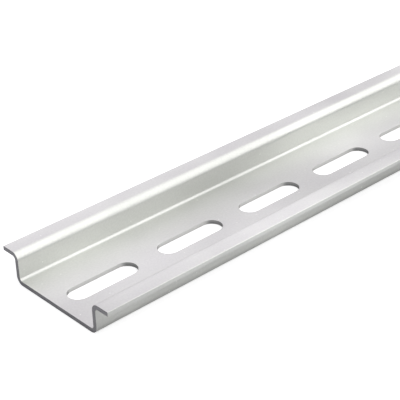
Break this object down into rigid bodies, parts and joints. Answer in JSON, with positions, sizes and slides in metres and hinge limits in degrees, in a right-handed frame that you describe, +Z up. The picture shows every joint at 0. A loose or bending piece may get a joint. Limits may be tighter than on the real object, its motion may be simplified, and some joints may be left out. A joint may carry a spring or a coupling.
{
  "type": "din rail",
  "caption": "Slotted top-hat rail of roll-formed steel strip: a shallow channel with two outward flanges on to which switchgear and terminals clip.",
  "frame": {"origin": "centre of the underside of the base, halfway along the rail", "axes": "+X along the rail, +Y across it, +Z up from the base towards the flanges"},
  "size_m": [1, 0.035, 0.0075],
  "materials": {
    "zinc_plated_steel": "satin zinc plating, pale silver with a faint mottle"
  },
  "bodies": {
    "root": {"slotted_rail": "zinc_plated_steel"}
  },
  "joints": []
}
